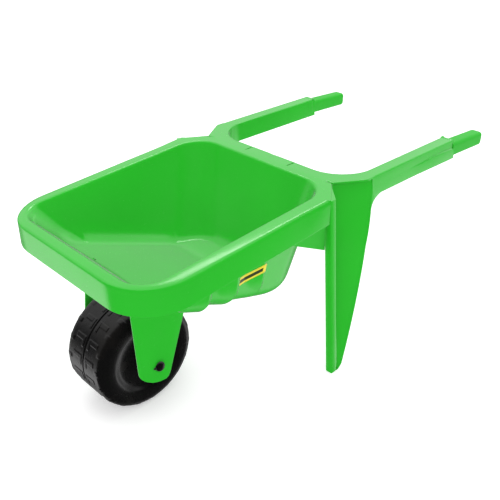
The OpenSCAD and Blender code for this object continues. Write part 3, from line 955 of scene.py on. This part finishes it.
class WHEELBARROW_OT_label(bpy.types.Operator):
    """Builds the side label: a thin slanted film that lies on the third rib and carries a plain bar."""

    bl_idname = "wheelbarrow.label"
    bl_label = "Label"
    bl_options = {"REGISTER", "UNDO"}

    def execute(self, context):
        n, m = 61, 25
        s, t = np.meshgrid(np.linspace(0, 1, n), np.linspace(0, 1, m), indexing="ij")
        narrow = np.clip((np.abs(s - 0.5) - 0.44) / 0.06, 0, 1)
        across = (t - 0.5) * 14 * np.sqrt(1 - narrow**2 * 0.6)
        u = 205 + (s - 0.5) * 53 + (t - 0.5) * 1.5
        d = 76 - (s - 0.5) * 5.4 - across
        x = np.clip(u - RIB_FRONTS[2], -5, RIB_RISE + 4.5)
        fall = np.sqrt(1 - np.clip((x - RIB_RISE) / RIB_END, 0, 1) ** 2)
        crest = (mm("rib_out") + 2) * np.minimum(x / RIB_RISE, fall)
        y = RIB_ROOT - WALL_LEAN * d - 2 + np.maximum(crest, 2)
        front = on_deck(u, -(y + 0.6), -d)
        back = on_deck(u, -(y + 0.1), -d)
        mesh = bpy.data.meshes.new("label_film_piece")
        faces = sheet_faces(n, m, close_m=False)
        ring = np.concatenate([np.arange(m), np.arange(1, n) * m + m - 1,
                               (n - 1) * m + np.arange(m - 2, -1, -1), np.arange(n - 2, 0, -1) * m])
        nxt = np.roll(ring, -1)
        edge = np.stack([ring, nxt, nxt + n * m, ring + n * m], -1)
        every = np.concatenate([faces[:, ::-1], faces + n * m, edge])
        points = np.concatenate([front.reshape(-1, 3), back.reshape(-1, 3)]) / 1000
        mesh.from_pydata(points.tolist(), [], every.tolist())
        dress(mesh, 40, merge=False)
        loops = np.zeros(len(mesh.loops), np.int32)
        mesh.loops.foreach_get("vertex_index", loops)
        uv = np.tile(np.stack([s, t], -1).reshape(-1, 2), (2, 1))[loops]
        mesh.uv_layers.new(name="UVMap").data.foreach_set("uv", uv.ravel())
        place("label_film_piece", mesh, finish("label_film"), "barrow", "label_film", "label")
        return {"FINISHED"}


class WHEELBARROW_OT_parts(bpy.types.Operator):
    """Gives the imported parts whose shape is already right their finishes."""

    bl_idname = "wheelbarrow.parts"
    bl_label = "Packed parts"
    bl_options = {"REGISTER", "UNDO"}

    def execute(self, context):
        kept = {"green_matte": ["left_gusset", "right_gusset"], "axle_steel": ["axle"],
                "pale_plastic": ["left_spacer", "right_spacer", "wheel_sleeve"],
                "black_plastic": ["wheel_pegs"]}
        for name, nodes in kept.items():
            for node in nodes:
                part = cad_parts[node]
                part.data.materials.clear()
                part.data.materials.append(finish(name))
                part.visible_glossy = False
        return {"FINISHED"}


# ---- stage ----


class WHEELBARROW_OT_stage(bpy.types.Operator):
    """Builds the pale floor, the soft lights, the surroundings and the camera."""

    bl_idname = "wheelbarrow.stage"
    bl_label = "Stage"
    bl_options = {"REGISTER", "UNDO"}

    def execute(self, context):
        scene = bpy.context.scene
        scene.view_settings.view_transform = "Standard"
        self.floor(scene)
        self.surroundings(scene)
        self.light(scene, "top_light", (0.15, 0.25, 2.2), (0, 0, 0.1), 2.0, 16)
        self.light(scene, "fill_light", (-1.6, -1.7, 1.1), (0, 0, 0.15), 1.8, 5)
        self.light(scene, "line_light", (1.62, 1.40, 2.75), (0, 0, 0.25), 1.6, 21, 0.45)
        self.camera(scene)
        return {"FINISHED"}

    def floor(self, scene):
        mesh = bpy.data.meshes.new("floor")
        x, y = np.meshgrid(np.linspace(-12, 12, 3), np.linspace(-12, 12, 3), indexing="ij")
        grid = xyz(x, y, -0.0005)
        faces = sheet_faces(3, 3, close_m=False)[:, ::-1]
        mesh.from_pydata(grid.reshape(-1, 3).tolist(), [], faces.tolist())
        floor = bpy.data.objects.new("floor", mesh)
        scene.collection.objects.link(floor)
        f = Finish("floor_paper", Roughness=0.9, Specular_IOR_Level=0.0, Emission_Strength=0.35,
                   Emission_Color=(1, 1, 1, 1))
        f.set(Base_Color=f.mix(f.noise(3, 3), rgba((0.93, 0.93, 0.93)), rgba((0.95, 0.95, 0.95))))
        mesh.materials.append(f.material)
        floor.visible_glossy = False

    def surroundings(self, scene):
        """A white room for the light it gives. In the gloss, the half behind the camera is dark, and the
        other half is bright below, dim along the horizon, and bright again above it."""
        scene.world = bpy.data.worlds.new("studio")
        scene.world.cycles.sampling_method = "NONE"
        g = Graph(scene.world)
        where = g.node("ShaderNodeTexCoord", out="Generated")
        x = g.node("ShaderNodeSeparateXYZ", {}, {0: where}, "X")
        split = x.socket.node.outputs
        y, z = Wire(g, split["Y"]), Wire(g, split["Z"])
        turn = g.node("ShaderNodeMath", {"operation": "ARCTAN2"}, {0: y, 1: x}) * math.degrees(1)
        rise = g.node("ShaderNodeMath", {"operation": "ARCSINE"}, {0: z}) * math.degrees(1)
        open_side = turn.over(-46, -33) * (1 - turn.over(126, 137))
        level = 0.7 + rise.over(-58, -40) * 0.9 - rise.over(-22, -8) + rise.over(8, 24) * 0.8
        below = turn.over(-20, 0) * (1 - turn.over(100, 115)) * (1 - rise.over(-8, -1))
        beside = (1 - turn.over(10, 40)) * rise.over(2, 8) * (1 - rise.over(24, 34))
        level = (level + beside * 0.7) * (1 - below * 0.8)
        room = g.node("ShaderNodeBackground", {}, {"Strength": 0.92, "Color": (1, 1, 1, 1)})
        gloss = open_side * level + 0.04
        mirror = g.node("ShaderNodeBackground", {}, {"Strength": gloss, "Color": (1, 1, 1, 1)})
        glossy = g.node("ShaderNodeLightPath", out="Is Glossy Ray")
        mixed = g.node("ShaderNodeMixShader", {}, {0: glossy, 1: room, 2: mirror})
        g.links.new(mixed.socket, g.nodes["World Output"].inputs["Surface"])

    def light(self, scene, name, at, to, size, power, tall=0.0):
        """A soft light: a square one for the shading only, or, when it is given a height, an oblong one
        for the gloss only."""
        data, shown = bpy.data.lights.new(name, "AREA"), tall > 0
        data.shape = "RECTANGLE" if shown else "SQUARE"
        data.size, data.energy = size, power
        data.size_y = tall or size
        lamp = bpy.data.objects.new(name, data)
        lamp.location = at
        lamp.rotation_euler = (Vector(to) - Vector(at)).to_track_quat("-Z", "Y").to_euler()
        lamp.visible_glossy, lamp.visible_diffuse = shown, not shown
        scene.collection.objects.link(lamp)

    def camera(self, scene):
        """The camera's place, in metres, and its axes from its azimuth, pitch and roll."""
        place = (-0.7373, -0.7222, 0.7260)
        a, e, roll = math.radians(-44.19), math.radians(30.02), math.radians(-0.22)
        back = Vector((math.sin(a) * math.cos(e), -math.cos(a) * math.cos(e), math.sin(e)))
        right = Vector((math.cos(a), math.sin(a), 0))
        up = back.cross(right)
        r = right * math.cos(roll) + up * math.sin(roll)
        u = up * math.cos(roll) - right * math.sin(roll)
        data = bpy.data.cameras.new("camera")
        data.lens, data.sensor_width = 50.5, 36
        camera = bpy.data.objects.new("camera", data)
        camera.matrix_world = Matrix((
            (r.x, u.x, back.x, place[0]), (r.y, u.y, back.y, place[1]), (r.z, u.z, back.z, place[2]),
            (0, 0, 0, 1)))
        scene.collection.objects.link(camera)
        scene.camera = camera


class WHEELBARROW_PT_panel(bpy.types.Panel):
    """Lists the operators, the sizes and the colours."""

    bl_idname = "WHEELBARROW_PT_panel"
    bl_label = "Wheelbarrow"
    bl_space_type = "VIEW_3D"
    bl_region_type = "UI"
    bl_category = "Wheelbarrow"

    def draw(self, context):
        column = self.layout.column()
        for operator in OPERATORS:
            column.operator(operator.bl_idname)
        for group in (context.scene.wheelbarrow_sizes, context.scene.wheelbarrow_finish):
            for name in group.__annotations__:
                column.prop(group, name)


OPERATORS = (
    WHEELBARROW_OT_tub,
    WHEELBARROW_OT_rim,
    WHEELBARROW_OT_bridge,
    WHEELBARROW_OT_arms,
    WHEELBARROW_OT_grips,
    WHEELBARROW_OT_legs,
    WHEELBARROW_OT_fork,
    WHEELBARROW_OT_wheel,
    WHEELBARROW_OT_caps,
    WHEELBARROW_OT_label,
    WHEELBARROW_OT_parts,
    WHEELBARROW_OT_stage,
)


def register():
    """Registers the properties, the operators and the panel."""
    for cls in (WheelbarrowSizes, WheelbarrowFinish, *OPERATORS, WHEELBARROW_PT_panel):
        bpy.utils.register_class(cls)
    bpy.types.Scene.wheelbarrow_sizes = bpy.props.PointerProperty(type=WheelbarrowSizes)
    bpy.types.Scene.wheelbarrow_finish = bpy.props.PointerProperty(type=WheelbarrowFinish)


def unregister():
    """Takes the panel, the operators and the properties out again."""
    del bpy.types.Scene.wheelbarrow_finish
    del bpy.types.Scene.wheelbarrow_sizes
    for cls in (WHEELBARROW_PT_panel, *reversed(OPERATORS), WheelbarrowFinish, WheelbarrowSizes):
        bpy.utils.unregister_class(cls)


def main():
    register()
    for operator in OPERATORS:
        group, name = operator.bl_idname.split(".")
        getattr(getattr(bpy.ops, group), name)()


if __name__ == "__main__":
    main()
